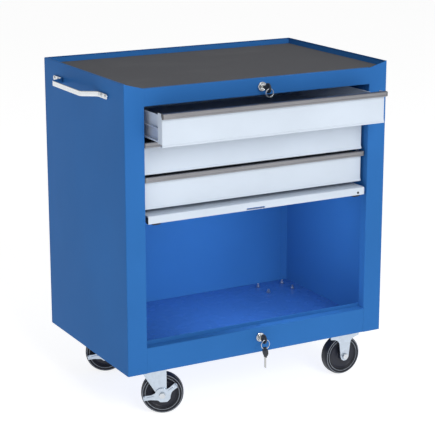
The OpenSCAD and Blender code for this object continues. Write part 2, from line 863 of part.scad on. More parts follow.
// Outline of one fork leg, from its upper edge down to the round end at the axle.
module leg_outline(left_top, right_top, axle_x, r) {
    c = [axle_x, wheel_r];
    polygon([left_top, right_top, touch(right_top, c, r, -1), c, touch(left_top, c, r, 1)]);
    translate(c) circle(r = r);
}

// Swivel fork: a crown, two upright legs and a thinner web along each leg's leading edge.
module swivel_fork() {
    crown_z = crown_top - crown_h;
    leg_top = crown_z + 3;
    trailing = trail + leg_end_r;
    knee = [trail - 16, wheel_r + 18];
    color([0.78, 0.81, 0.84]) difference() {
        intersection() {
            union() {
                translate([0, 0, crown_z]) cylinder(r = crown_r, h = crown_h);
                block([0, -leg_out, crown_z], [trailing, leg_out, crown_z + crown_h]);
                on_legs() {
                    translate(knee) square([trailing - knee[0], leg_top - knee[1]]);
                    leg_outline(knee, [trailing, knee[1]], trail, leg_end_r);
                }
                on_legs(1.4) leg_outline([-24, leg_top], [knee[0] + 1, leg_top], trail, leg_end_r);
            }
            union() {
                cylinder(r = swivel_reach, h = caster_h);
                cylinder(r = 2 * trailing, h = base_h - 0.5);
            }
        }
        translate([0, 0, crown_z - 1]) cylinder(r = kingpin_r + fit, h = crown_h + 2);
        bar_y(-leg_out - 1, leg_out + 1, trail, wheel_r, axle_r + fit);
    }
}

// Fixed fork: its plate, wide shoulders that sweep in to the legs, and round ends.
module fixed_fork() {
    shoulder = [40, plate_under - 31];
    waist = [15.5, plate_under - 47];
    sweep = shoulder - waist;
    end = [0, wheel_r];
    end_r = 11.5;
    first = touch(waist, end, end_r, -1) - end;
    first_angle = atan2(first[1], first[0]);
    right = concat(
        [[shoulder[0], plate_under + 1]],
        [for (a = [0:15:90]) waist + [sweep[0] * (1 - sin(a)), sweep[1] * cos(a)]],
        [for (i = [0:9]) let (a = first_angle - (first_angle + 90) * i / 9) end + end_r * [cos(a), sin(a)]]);
    color([0.78, 0.81, 0.84]) difference() {
        union() {
            plate_blank();
            on_legs() polygon(concat(right,
                [for (i = [len(right) - 2:-1:0]) [-right[i][0], right[i][1]]]));
        }
        bolt_holes();
        bar_y(-leg_out - 1, leg_out + 1, 0, wheel_r, axle_r + fit);
    }
}

// Axle bolt with a hexagon head at -Y and a nut at +Y.
module axle(x, head_y) {
    color(zinc) {
        bar_y(head_y - 0.5, leg_out + 8.5, x, wheel_r, axle_r);
        for (y = [head_y - axle_hex_h, leg_out + 0.2]) translate([x, y, wheel_r])
            rotate([-90, 0, 0]) cylinder(r = axle_hex_r, h = axle_hex_h, $fn = 6);
    }
}

// Moulded wheel: hub, web and rim, with a groove in each face of the rim.
module wheel(x) {
    half_t = wheel_w / 2;
    shoulder = 4.5;
    rim_in = wheel_r * 0.68;
    groove = wheel_r * 0.84;
    half_outline = concat(
        [[axle_r + fit, hub_half], [11, hub_half], [12, half_t - 7],
         [rim_in - 2, half_t - 9], [rim_in, half_t - 1], [rim_in + 1, half_t],
         [groove - 1.2, half_t], [groove - 0.4, half_t - 1.4], [groove + 0.4, half_t - 1.4],
         [groove + 1.2, half_t]],
        [for (a = [90:-15:0])
            [wheel_r - shoulder + shoulder * cos(a), half_t - shoulder + shoulder * sin(a)]]);
    color([0.13, 0.13, 0.15]) translate([x, 0, wheel_r]) rotate([90, 0, 0]) rotate_extrude($fn = 96)
        polygon(concat(half_outline,
            [for (i = [len(half_outline) - 1:-1:0]) [half_outline[i][0], -half_outline[i][1]]]));
}

// Brake lever on the axle, outside the fork: a round hub and two arms with foot tabs.
module brake_lever() {
    arm_l = 42;
    arm_angles = [184, 41];
    color([0.82, 0.86, 0.9]) translate([trail, 0, wheel_r]) difference() {
        union() {
            run_y(lever_y, lever_y + lever_t) {
                circle(r = 15.5);
                translate([0, -15.5]) square([13, 15.5]);
                for (a = arm_angles) rotate(a)
                    polygon([[0, -10], [arm_l * 0.55, -6.5], [arm_l, -5], [arm_l, 5],
                        [arm_l * 0.55, 6.5], [0, 10]]);
            }
            for (a = arm_angles) rotate([0, -a, 0])
                block([arm_l - 2.5, lever_y - 6, -5], [arm_l, lever_y + 1, 5]);
        }
        bar_y(lever_y - 1, lever_y + lever_t + 1, 0, 0, axle_r + fit);
    }
}

module front_left_caster_plate() { at_caster(swivel_x, caster_y[0]) swivel_plate(); }
module rear_left_caster_plate() { at_caster(swivel_x, caster_y[1]) swivel_plate(); }
module front_left_caster_fork() { at_caster(swivel_x, caster_y[0], front_turn) swivel_fork(); }
module rear_left_caster_fork() { at_caster(swivel_x, caster_y[1], rear_turn) swivel_fork(); }
module front_left_caster_axle() {
    at_caster(swivel_x, caster_y[0], front_turn) axle(trail, lever_y - 0.4);
}
module rear_left_caster_axle() {
    at_caster(swivel_x, caster_y[1], rear_turn) axle(trail, lever_y - 0.4);
}
module front_left_brake_lever() { at_caster(swivel_x, caster_y[0], front_turn) brake_lever(); }
module rear_left_brake_lever() { at_caster(swivel_x, caster_y[1], rear_turn) brake_lever(); }
module front_left_wheel() { at_caster(swivel_x, caster_y[0], front_turn) wheel(trail); }
module rear_left_wheel() { at_caster(swivel_x, caster_y[1], rear_turn) wheel(trail); }
module front_right_caster_fork() { at_caster(fixed_x, caster_y[0]) fixed_fork(); }
module rear_right_caster_fork() { at_caster(fixed_x, caster_y[1]) fixed_fork(); }
module front_right_wheel() { at_caster(fixed_x, caster_y[0]) wheel(0); }
module rear_right_wheel() { at_caster(fixed_x, caster_y[1]) wheel(0); }

module fixed_caster_axles() {
    for (y = caster_y) at_caster(fixed_x, y) axle(0, -leg_out - 0.2);
}

// Bolts up through the plates and the floor pan, each with a nut inside.
module caster_bolts() {
    tip = base_h + bolt_tip;
    color(zinc) placed() at_casters() caster_bolt_places() {
        translate([0, 0, plate_under - bolt_head_h])
            cylinder(r = bolt_hex_r, h = bolt_head_h, $fn = 6);
        translate([0, 0, plate_under - 1]) cylinder(r = bolt_r, h = tip - plate_under + 1);
        translate([0, 0, base_h + pan_rise]) difference() {
            cylinder(r = bolt_hex_r, h = bolt_nut_h, $fn = 6);
            translate([0, 0, -1]) cylinder(r = bolt_r + 0.05, h = bolt_nut_h + 2);
        }
    }
}

// ---- Nodes ---------------------------------------------------------------------------

left_side_panel();
right_side_panel();
back_panel();
top_tray();
top_mat();
floor_pan();
top_rail();
bottom_rail();
left_inner_plate();
right_inner_plate();
cabinet_runners();
side_handle();
handle_screws();
lock_barrel(drawer_lock_z);  // drawer_lock_barrel
lock_plug(drawer_lock_z);  // drawer_lock_plug
drawer_lock_cam();
lock_key(drawer_lock_z, drawer_key_out);  // drawer_lock_key
key_ring(drawer_lock_z, drawer_ring_r, drawer_key_out);  // drawer_key_ring
drawer_lock_bar();
lock_barrel(door_lock_z);  // door_lock_barrel
lock_plug(door_lock_z);  // door_lock_plug
door_lock_cam();
lock_key(door_lock_z);  // door_lock_key
key_ring(door_lock_z);  // door_key_ring
door_spare_key();
for (n = [0:2]) {
    drawer_front(n);
    drawer_tray(n);
    drawer_grip(n);
    drawer_runners(n);
    ball_cages(n);
}
door_panel();
door_pivot_studs();
door_sliders();
door_bumpers();
front_left_caster_plate();
front_left_caster_fork();
front_left_caster_axle();
front_left_brake_lever();
front_left_wheel();
rear_left_caster_plate();
rear_left_caster_fork();
rear_left_caster_axle();
rear_left_brake_lever();
rear_left_wheel();
front_right_caster_fork();
front_right_wheel();
rear_right_caster_fork();
rear_right_wheel();
fixed_caster_axles();
caster_bolts();
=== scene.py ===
"""Rolling tool chest: the looks of its painted panels, drawers, rails, locks, handle and casters."""

import json
import math

import bmesh
import bpy
import numpy as np
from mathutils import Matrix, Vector

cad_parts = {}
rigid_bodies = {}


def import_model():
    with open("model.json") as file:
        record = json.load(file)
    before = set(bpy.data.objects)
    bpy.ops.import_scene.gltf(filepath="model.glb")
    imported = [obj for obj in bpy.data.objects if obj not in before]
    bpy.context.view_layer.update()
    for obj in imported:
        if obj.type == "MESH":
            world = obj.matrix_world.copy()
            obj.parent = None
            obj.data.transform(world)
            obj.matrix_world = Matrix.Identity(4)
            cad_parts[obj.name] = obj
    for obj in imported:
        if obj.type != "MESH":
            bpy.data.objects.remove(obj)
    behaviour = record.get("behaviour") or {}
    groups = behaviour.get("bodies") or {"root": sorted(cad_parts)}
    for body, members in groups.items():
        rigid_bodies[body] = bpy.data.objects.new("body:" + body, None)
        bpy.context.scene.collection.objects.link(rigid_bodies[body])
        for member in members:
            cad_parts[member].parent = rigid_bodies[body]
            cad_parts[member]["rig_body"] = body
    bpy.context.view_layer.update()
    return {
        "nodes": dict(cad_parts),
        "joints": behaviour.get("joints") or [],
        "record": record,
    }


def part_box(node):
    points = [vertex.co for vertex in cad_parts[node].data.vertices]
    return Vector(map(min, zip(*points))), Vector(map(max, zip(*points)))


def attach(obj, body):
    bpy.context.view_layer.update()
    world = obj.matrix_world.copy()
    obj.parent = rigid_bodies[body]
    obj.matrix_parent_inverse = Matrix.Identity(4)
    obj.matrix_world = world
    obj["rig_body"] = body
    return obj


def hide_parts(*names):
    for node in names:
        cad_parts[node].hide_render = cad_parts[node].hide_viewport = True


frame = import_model()
nodes = frame["nodes"]
joints = {j["name"]: j for j in frame["joints"]}
DRAWERS = ("top", "middle", "bottom")
MM = 0.001


# ---- Shader maths --------------------------------------------------------------------


class Wire:
    """A shader socket. Arithmetic on wires adds Math nodes, and over is 1 above a level, 0 below."""

    def __init__(self, finish, socket):
        self.finish, self.socket = finish, socket

    def _maths(self, operation, *terms):
        return self.finish.node("ShaderNodeMath", {"operation": operation}, dict(enumerate(terms)))

    def __add__(self, other): return self._maths("ADD", self, other)
    def __radd__(self, other): return self._maths("ADD", other, self)
    def __rsub__(self, other): return self._maths("SUBTRACT", other, self)
    def __mul__(self, other): return self._maths("MULTIPLY", self, other)
    def __rmul__(self, other): return self._maths("MULTIPLY", other, self)
    def over(self, level): return self._maths("GREATER_THAN", self, level)

    def between(self, low, high):
        """0 up to low, 1 from high on, and a smooth ramp from one to the other."""
        return self.finish.node("ShaderNodeMapRange", {"interpolation_type": "SMOOTHSTEP"},
                                {"Value": self, "From Min": low, "From Max": high})


class Finish:
    """A material: a Principled BSDF and the nodes that vary its colour, roughness and bump."""

    def __init__(self, name, **steady):
        self.material = bpy.data.materials.new(name)
        self.material.use_nodes = True
        self.tree = self.material.node_tree
        self.shader = self.tree.nodes["Principled BSDF"]
        for socket, value in steady.items():
            self.shader.inputs[socket.replace("_", " ").title().replace("Ior", "IOR")].default_value = value
        self.place = self.node("ShaderNodeTexCoord", {}, {}, "Object")

    def node(self, kind, settings, sockets, output=0):
        """Adds one node: first its settings, then a value or a wire for each socket."""
        made = self.tree.nodes.new(kind)
        for key, value in settings.items():
            setattr(made, key, value)
        for key, value in sockets.items():
            if isinstance(value, Wire):
                self.tree.links.new(value.socket, made.inputs[key])
            else:
                made.inputs[key].default_value = value
        return Wire(self, made.outputs[output])

    def axes(self):
        """X, Y and Z of the point, in metres."""
        return [self.node("ShaderNodeSeparateXYZ", {}, {0: self.place}, k) for k in range(3)]

    def stretched(self, x, y, z):
        """The point with its coordinates scaled, for streaks along the axis with the smallest scale."""
        return self.node("ShaderNodeVectorMath", {"operation": "MULTIPLY"}, {0: self.place, 1: (x, y, z)})

    def noise(self, scale, detail=3.0, at=None, rough=0.5):
        return self.node("ShaderNodeTexNoise", {},
                         {"Vector": at or self.place, "Scale": scale, "Detail": detail, "Roughness": rough})

    def cells(self, scale, output):
        return self.node("ShaderNodeTexVoronoi", {}, {"Vector": self.place, "Scale": scale}, output)

    def mixed(self, share, one, other):
        """One colour where share is 0, the other where it is 1."""
        return self.node("ShaderNodeMix", {"data_type": "RGBA"}, {0: share, 6: one, 7: other}, 2)

    def feed(self, socket, wire):
        self.tree.links.new(wire.socket, self.shader.inputs[socket])

    def bumps(self, height, depth, strength=1.0):
        """Makes height, 0 to 1, stand up by depth metres."""
        self.feed("Normal", self.node("ShaderNodeBump", {}, {
            "Strength": strength, "Distance": depth, "Height": height}))


def rgb(r, g, b):
    """Colour from three 0 to 255 display values."""
    share = np.array([r, g, b]) / 255
    line = np.where(share <= 0.04045, share / 12.92, ((share + 0.055) / 1.055) ** 2.4)
    return (*line.tolist(), 1.0)


def shade(colour, factor):
    return (*[c * factor for c in colour[:3]], 1.0)


# ---- Finishes ------------------------------------------------------------------------


def powder_coat(name, colour, gloss):
    """Baked powder paint: fine orange peel, faint cloudiness and a little dust in its gloss."""
    f = Finish(name, roughness=gloss, ior=1.10)
    cloud = f.noise(3.5, 4)
    smear = f.noise(22, 5, f.stretched(1, 1, 0.35))
    f.feed("Base Color", f.mixed(cloud.between(0.3, 0.75), shade(colour, 0.95), shade(colour, 1.05)))
    f.feed("Roughness", gloss - 0.04 + 0.10 * smear)
    peel = f.noise(420, 2)
    grain = f.noise(1500, 1)
    f.bumps(0.75 * peel + 0.25 * grain, 0.00009, 0.55)
    return f.material


def ribbed_rubber():
    """Mat rubber: matt, with a fine moulded grain and faint scuffs over the ribs."""
    f = Finish("mat rubber", specular_ior_level=0.35)
    scuff = f.noise(5, 6, f.stretched(1, 1.6, 1)).between(0.45, 0.8)
    grain = f.noise(2600, 2)
    f.feed("Base Color", f.mixed(0.16 * scuff + 0.3 * grain, rgb(84, 85, 89), rgb(106, 107, 111)))
    f.feed("Roughness", 0.82 - 0.12 * scuff)
    f.bumps(grain, 0.00008, 0.6)
    return f.material


def zinc_plate(name, colour, smooth=0.30):
    """Bright zinc: pale blue-white metal with soft spangles and rolling streaks."""
    f = Finish(name, metallic=1.0)
    spangle = f.cells(130, "Color")
    cloud = f.noise(40, 4)
    tone = 0.6 * f.node("ShaderNodeRGBToBW", {}, {0: spangle}) + 0.4 * cloud
    f.feed("Base Color", f.mixed(tone, shade(colour, 0.86), shade(colour, 1.08)))
    f.feed("Roughness", smooth - 0.05 + 0.16 * tone)
    f.bumps(f.noise(900, 3), 0.00005, 0.5)
    return f.material


def chrome_plate():
    """Chrome: mirror-like, with faint polishing haze."""
    f = Finish("chrome plate", metallic=1.0)
    haze = f.noise(60, 5)
    f.feed("Base Color", f.mixed(haze, rgb(214, 218, 222), rgb(232, 235, 238)))
    f.feed("Roughness", 0.10 + 0.10 * haze)
    f.bumps(f.noise(300, 2), 0.00003, 0.3)
    return f.material


def brushed_grip():
    """Grip rails: grey metal, brushed along the rail."""
    f = Finish("grip metal", metallic=1.0)
    brush = f.noise(1, 4, f.stretched(12, 1700, 1700), 0.6)
    cloud = f.noise(18, 3, f.stretched(0.4, 1, 1))
    f.feed("Base Color", f.mixed(0.6 * brush + 0.4 * cloud, rgb(118, 118, 121), rgb(168, 168, 172)))
    f.feed("Roughness", 0.27 + 0.18 * brush)
    f.bumps(brush, 0.00006, 0.5)
    return f.material


def moulded_black(name, colour, rough):
    """Moulded plastic or rubber: near black, with a fine eroded grain."""
    f = Finish(name, ior=1.38)
    grain = f.noise(1900, 2)
    cloud = f.noise(30, 4)
    f.feed("Base Color", f.mixed(cloud, shade(colour, 0.8), shade(colour, 1.25)))
    f.feed("Roughness", rough - 0.06 + 0.14 * cloud)
    f.bumps(grain, 0.00006, 0.5)
    return f.material


def tyre_rubber():
    """Wheel rim: black rubber, greyed by dust, with the tops of its ribs painted pale where its rib
    attribute is 1: partly rubbed wear, partly a painted highlight for the light that the raised ribs catch.
    """
    f = Finish("wheel rubber", ior=1.35)
    rib_sheen_and_wear = f.node("ShaderNodeAttribute", {"attribute_name": "rib_sheen_and_wear"}, {}, "Fac")
    grain = f.noise(1100, 3)
    dust = f.noise(55, 6).between(0.48, 0.78)
    # Pale rib tops: partly rubbed wear, partly a painted highlight for light caught on the raised ribs.
    rib_sheen_and_wear_share = rib_sheen_and_wear * (0.7 + 0.3 * dust)
    black = f.mixed(0.3 * dust, rgb(27, 30, 37), rgb(74, 76, 82))
    f.feed("Base Color", f.mixed(rib_sheen_and_wear_share, black, rgb(150, 157, 168)))
    f.feed("Roughness", 0.40 + 0.2 * dust)
    f.bumps(0.7 * grain + 0.3 * dust, 0.0001, 0.5)
    return f.material


def satin_zinc():
    """Runner steel: a pale, half-matt zinc with faint rolling lines."""
    f = Finish("runner zinc", metallic=0.35)
    lines = f.noise(1, 3, f.stretched(900, 6, 900))
    cloud = f.noise(25, 4)
    f.feed("Base Color", f.mixed(0.5 * lines + 0.5 * cloud, rgb(176, 184, 196), rgb(222, 228, 236)))
    f.feed("Roughness", 0.42 + 0.14 * cloud)
    f.bumps(lines, 0.00004, 0.4)
    return f.material


def keyed(name, metal_part):
    """A key: black plastic bow, and a nickel blade where metal_part(x, y, z) is 1."""
    f = Finish(name)
    blade = metal_part(*f.axes())
    grain = f.noise(1500, 2)
    f.feed("Base Color", f.mixed(blade, rgb(36, 39, 44), rgb(196, 196, 190)))
    f.feed("Metallic", blade)
    f.feed("Roughness", 0.46 - 0.18 * blade + 0.08 * grain)
    f.bumps(grain, 0.00005, 0.4)
    return f.material


BLUE = powder_coat("blue powder coat", rgb(48, 107, 174), 0.40)
# The compartment floor's paint: the body's blue made glossier, and darker and more violet as painted shade
# for the shaded inside of the compartment.
SHADED_FLOOR_BLUE = powder_coat("floor paint with painted shade", rgb(47, 96, 166), 0.26)
PALE = powder_coat("pale grey powder coat", rgb(203, 213, 225), 0.40)
MAT = ribbed_rubber()
ZINC = zinc_plate("zinc plate", rgb(208, 212, 216))
CASTER = zinc_plate("caster zinc", rgb(198, 209, 221), 0.34)
CHROME = chrome_plate()
RUNNER = satin_zinc()
GRIP = brushed_grip()
PLASTIC = moulded_black("black plastic", rgb(40, 42, 46), 0.5)
RUBBER = moulded_black("black rubber", rgb(34, 34, 36), 0.7)
TYRE = tyre_rubber()
HUB = moulded_black("wheel plastic", rgb(34, 37, 48), 0.34)
CAP = moulded_black("cap plastic", rgb(92, 90, 90), 0.48)

FINISH_OF_SLOT = {
    "body_paint": BLUE, "drawer_paint": PALE, "mat_rubber": MAT, "zinc_steel": ZINC,
    "chrome": CHROME, "grip_metal": GRIP, "caster_steel": CASTER, "wheel_rubber": TYRE,
    "black_plastic": PLASTIC, "black_rubber": RUBBER,
}
SLOT_OF_NODE = {s["node"]: s["material_slot"] for s in frame["record"]["subparts"]}


def coat(piece, material):
    """Gives a piece one material."""
    piece.data.materials.clear()
    piece.data.materials.append(material)


for name, piece in nodes.items():
    coat(piece, RUNNER if name.endswith("_runners") else FINISH_OF_SLOT[SLOT_OF_NODE[name]])
# The compartment floor gets the darker blue, painted shade.
coat(nodes["floor_pan"], SHADED_FLOOR_BLUE)


# ---- Shapes --------------------------------------------------------------------------


def made_piece(name, points, faces, material, crease=35):
    """A mesh piece from points (n, 3) and faces, its normals turned outwards by its signed volume."""
    mesh = bpy.data.meshes.new(name)
    mesh.from_pydata(points.tolist(), [], faces)
    mesh.update()
    mesh.calc_loop_triangles()
    corners = np.empty(len(mesh.loop_triangles) * 3, np.int32)
    mesh.loop_triangles.foreach_get("vertices", corners)
    a, b, c = points[corners.reshape(-1, 3)].transpose(1, 0, 2)
    if np.einsum("ij,ij->i", a, np.cross(b, c)).sum() < 0:
        mesh.flip_normals()
    mesh.shade_smooth()
    mesh.set_sharp_from_angle(angle=math.radians(crease))
    piece = bpy.data.objects.new(name, mesh)
    bpy.context.scene.collection.objects.link(piece)
    coat(piece, material)
    return piece


def shell_faces(rows, columns, ring):
    """Quads between neighbouring rows of a grid whose columns close up; ring joins the last row to
    the first, and without it the first and the last row are closed by one face each."""
    r, c = np.meshgrid(np.arange(rows if ring else rows - 1), np.arange(columns), indexing="ij")
    r, c = r.ravel(), c.ravel()
    below, beside = (r + 1) % rows, (c + 1) % columns
    quads = np.stack([r * columns + c, below * columns + c,
                      below * columns + beside, r * columns + beside], 1).tolist()
    if ring:
        return quads
    first = np.arange(columns)
    return quads + [first.tolist(), (first[::-1] + (rows - 1) * columns).tolist()]


def eased(corners, cut, steps=5):
    """A closed outline with its corners eased: each corner C becomes the parabola
    (1-t)^2 A + 2t(1-t) C + t^2 B, with A and B on the edges at the distance cut from C."""
    c = np.asarray(corners, float)
    cut = np.broadcast_to(np.asarray(cut, float), len(c))[:, None]
    before, after = np.roll(c, 1, 0) - c, np.roll(c, -1, 0) - c
    a = c + before * np.minimum(cut / np.linalg.norm(before, axis=1, keepdims=True), 0.5)
    b = c + after * np.minimum(cut / np.linalg.norm(after, axis=1, keepdims=True), 0.5)
    t = np.linspace(0, 1, steps + 1)[:, None, None]
    return ((1 - t) ** 2 * a + 2 * t * (1 - t) * c + t ** 2 * b).transpose(1, 0, 2).reshape(-1, 2)


def bent(corners, radius, steps=8):
    """An open path with round bends, by the same parabolas as eased."""
    c = np.asarray(corners, float)
    inner = eased(c, radius, steps).reshape(len(c), steps + 1, 2)[1:-1].reshape(-1, 2)
    return np.vstack([c[:1], inner, c[-1:]])


def turned(name, outline, centre, axis, material, steps=64, crease=35):
    """A body of revolution: each outline point (r, h) goes to centre + r (cos a U + sin a V) + h W,
    with W the axis and U, V square to it, for a from 0 to 2 pi."""
    w = np.asarray(axis, float) / np.linalg.norm(axis)
    u = np.cross(w, (0, 0, 1) if abs(w[2]) < 0.9 else (1, 0, 0))
    u /= np.linalg.norm(u)
    v = np.cross(w, u)
    a = np.linspace(0, 2 * np.pi, steps, endpoint=False)[:, None, None]
    r, h = np.asarray(outline, float).T[:, None, :, None]
    points = np.asarray(centre) + r * (np.cos(a) * u + np.sin(a) * v) + h * w
    return made_piece(name, points.reshape(-1, 3),
                      shell_faces(steps, len(outline), True), material, crease)


def run(name, outline, low, high, material, crease=35):
    """An outline in the Y-Z plane carried straight along X from low to high."""
    flat = np.asarray(outline, float)
    points = np.stack([np.column_stack([np.full(len(flat), x), flat]) for x in (low, high)])
    return made_piece(name, points.reshape(-1, 3), shell_faces(2, len(flat), False), material, crease)


def strap(name, path, up, section, material, scale=None, crease=50):
    """A section (a, b) carried along a plane path: at each point P with tangent T it goes to
    P + a (up x T) + s b up, where s is that point's scale."""
    p, up = np.asarray(path, float), np.asarray(up, float)
    t = np.gradient(p, axis=0)
    t /= np.linalg.norm(t, axis=1, keepdims=True)
    side = np.cross(up, t)
    a, b = np.asarray(section, float).T[:, None, :, None]
    s = np.ones(len(p)) if scale is None else np.asarray(scale)
    points = p[:, None] + a * side[:, None] + s[:, None, None] * b * up
    return made_piece(name, points.reshape(-1, 3),
                      shell_faces(len(p), len(section), False), material, crease)


def coil(name, centre, radius, wire, pitch, material, turns=1.86, steps=150, sides=10):
    """A split ring in the X-Z plane: a wire round P(a) = centre + radius (cos a, sin a) that moves
    along Y by pitch for each turn, with its ends rounded off by a shrinking radius."""
    a = np.linspace(0, 2 * np.pi * turns, steps) + 0.6
    y = pitch * ((a - a.mean()) / (2 * np.pi))
    out = np.column_stack([np.cos(a), 0 * a, np.sin(a)])
    p = np.asarray(centre) + radius * out + np.column_stack([0 * a, y, 0 * a])
    end = np.minimum(np.arange(steps), np.arange(steps)[::-1]) / 3
    r = wire * np.sqrt(1 - (1 - np.clip(end, 0.15, 1)) ** 2)[:, None, None]
    b = np.linspace(0, 2 * np.pi, sides, endpoint=False)[:, None]
    points = p[:, None] + r * (np.cos(b) * out[:, None] + np.sin(b) * np.array([0, 1.0, 0]))
    return made_piece(name, points.reshape(-1, 3), shell_faces(steps, sides, False), material, 60)


def softened(node, width, material=None, steps=2, angle=32):
    """A copy of a CAD node, merged and with its edges rounded, that stands for the node."""
    source = nodes[node]
    piece = bpy.data.objects.new(node + "_finished", source.data.copy())
    bpy.context.scene.collection.objects.link(piece)
    bm = bmesh.new()
    bm.from_mesh(piece.data)
    bmesh.ops.remove_doubles(bm, verts=bm.verts, dist=1e-6)
    bmesh.ops.dissolve_limit(bm, angle_limit=math.radians(1.0), verts=bm.verts, edges=bm.edges)
    bm.to_mesh(piece.data)
    bm.free()
    piece.data.shade_smooth()
    piece.data.set_sharp_from_angle(angle=math.radians(angle))
    bevel = piece.modifiers.new("edge rounding", "BEVEL")
    bevel.width, bevel.segments = width, steps
    bevel.limit_method, bevel.angle_limit = "ANGLE", math.radians(angle)
    bevel.harden_normals = False
    bevel.use_clamp_overlap = True
    coat(piece, material or FINISH_OF_SLOT[SLOT_OF_NODE[node]])
    dress(piece, source["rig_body"], SLOT_OF_NODE[node], node)
    return piece


def dress(piece, body, slot, *stands_for):
    """Puts a piece on its body and hides the nodes that it stands for; slot is not used."""
    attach(piece, body)
    if stands_for:
        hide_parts(*stands_for)
    return piece


# ---- Work surface --------------------------------------------------------------------


def ribbed_mat():
    """The mat, ribbed from side to side, its top at
    z = top - depth (0.5 - 0.5 cos(2 pi y / pitch))^3."""
    low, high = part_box("top_mat")
    pitch, depth, around = 3.0 * MM, 0.35 * MM, 6
    count = int((high.y - low.y) / pitch)
    k = np.arange(count * around + 1)
    y = low.y + (high.y - low.y) * k / k[-1]
    z = high.z - depth * (0.5 - 0.5 * np.cos(2 * np.pi * k / around)) ** 3
    outline = np.vstack([np.column_stack([y, z]), [[high.y, low.z], [low.y, low.z]]])
    dress(run("ribbed_mat", outline, low.x, high.x, MAT, 60), "cabinet", "mat_rubber", "top_mat")


# ---- Drawers -------------------------------------------------------------------------


def grip_rail(drawer):
    """A grip rail of folded metal with round bends and a sunk band, and a cap on each end."""
    low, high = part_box(drawer + "_drawer_grip")
    t, cap = 1.2 * MM, 2.6 * MM
    y0, y1, z0, z1 = low.y, high.y, low.z, high.z
    sunk, bead = 0.6 * MM, 3.4 * MM
    outer = [(y1, z1), (y0, z1), (y0, z1 - bead), (y0 + sunk, z1 - bead - sunk),
             (y0 + sunk, z0 + bead + sunk), (y0, z0 + bead), (y0, z0), (y0 + 4.2 * MM, z0),
             (y0 + 4.2 * MM, z0 + t), (y0 + t + sunk, z0 + t), (y0 + t + sunk, z1 - t), (y1, z1 - t)]
    cuts = np.array([0.3, 2.6, 0.3, 0.3, 0.3, 0.3, 2.6, 0.4, 0.4, 1.6, 1.6, 0.3]) * MM
    rail = run(drawer + "_grip_rail", eased(outer, cuts, 7), low.x + 0.6 * cap, high.x - 0.6 * cap, GRIP)
    dress(rail, drawer + "_drawer", "grip_metal", drawer + "_drawer_grip")
    inner = y1 - 1.4 * MM
    face = eased([(inner, z1), (y0, z1), (y0, z0), (y0 + 5.4 * MM, z0), (inner, z1 - 5 * MM)],
                 np.array([0.8, 3.0, 3.0, 1.6, 1.2]) * MM, 6)
    for side, (a, b) in {"left": (low.x, low.x + cap), "right": (high.x - cap, high.x)}.items():
        end = run(f"{drawer}_grip_cap_{side}", face, a, b, CAP)
        edge = end.modifiers.new("moulded edge", "BEVEL")
        edge.width, edge.segments, edge.limit_method = 0.5 * MM, 3, "ANGLE"
        dress(end, drawer + "_drawer", "black_plastic")


# ---- Side handle ---------------------------------------------------------------------


def hand_strap():
    """The handle: a flat strap with eased edges, bent out from its feet and back, its ends round."""
    low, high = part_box("side_handle")
    t, tall, z = 4.0 * MM, (high.z - low.z) / 2, (high.z + low.z) / 2
    foot, grip = high.x - t / 2, low.x + t / 2
    lean, foot_length = 21 * MM, 50 * MM
    front, back = low.y + foot_length, high.y - foot_length
    corners = [(foot, low.y), (foot, front), (grip, front + lean),
               (grip, back - lean), (foot, back), (foot, high.y)]
    path = bent(corners, 7 * MM, 10)
    fine = np.linspace(0, 1, 7)[1:-1, None] * 6 * MM
    start = path[0] + np.hstack([0 * fine, fine])
    stop = path[-1] - np.hstack([0 * fine, fine[::-1]])
    path = np.vstack([path[:1], start, path[1:-1], stop, path[-1:]])
    reach = np.minimum(path[:, 1] - low.y, high.y - path[:, 1]) / (6 * MM)
    near_foot = np.abs(path[:, 0] - foot) < 0.1 * MM
    width = np.where(near_foot, np.sqrt(np.clip(1 - (1 - np.clip(reach, 0.06, 1)) ** 2, 0, 1)), 1.0)
    section = eased([(-t / 2, -tall), (t / 2, -tall), (t / 2, tall), (-t / 2, tall)], 1.3 * MM, 4)
    p3 = np.column_stack([path, np.full(len(path), z)])
    dress(strap("handle_strap", p3, (0, 0, 1), section, CHROME, width), "cabinet", "chrome", "side_handle")


# ---- Locks and keys ------------------------------------------------------------------


def lock_trim(lock):
    """A chromed bezel with a rolled edge and a dished face, turned about the lock's axis."""
    low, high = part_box(lock + "_lock_barrel")
    x, z, y = (low.x + high.x) / 2, (low.z + high.z) / 2, low.y
    bore, body, rim = 6.06 * MM, 9.5 * MM, 11.0 * MM
    back = high.y - y
    outline = [(bore, 0.9 * MM), (7.4 * MM, 0.5 * MM), (8.6 * MM, 0.9 * MM), (9.1 * MM, 0.0),
               (10.3 * MM, 0.0), (rim, 1.2 * MM), (rim, 5.0 * MM), (body, 5.0 * MM), (body, back),
               (bore, back)]
    cut = np.array([0.3, 1, 0.6, 0.5, 0.8, 0.9, 0.3, 0.3, 0.4, 0.3]) * MM
    dress(turned(lock + "_lock_bezel", eased(outline, cut, 4), (x, y, z), (0, 1, 0), CHROME),
          "cabinet", "chrome")
    nut = 13.5 * MM
    a = np.radians(np.arange(6) * 60.0)
    chamfer = nut * 0.93
    rings = [(body, 0), (chamfer, 0), (nut, 0.5 * MM), (nut, 4.5 * MM), (chamfer, 5 * MM),
             (body, 5 * MM)]
    p = [np.column_stack([x + r * np.cos(a), np.full(6, y + 6.2 * MM + h), z + r * np.sin(a)])
         for r, h in rings]
    dress(made_piece(lock + "_lock_nut", np.vstack(p), shell_faces(6, 6, True), ZINC, 20),
          "cabinet", "zinc_steel")
    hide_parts(lock + "_lock_barrel")


def split_ring(lock, body):
    """The wire ring on a lock's key."""
    low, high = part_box(lock + "_key_ring")
    middle = (low + high) / 2
    wire = 0.8 * MM
    dress(coil(lock + "_split_ring", middle, (high.x - low.x) / 2 - wire, wire, 1.3 * wire, ZINC),
          body, "zinc_steel", lock + "_key_ring")


# ---- Wheels --------------------------------------------------------------------------


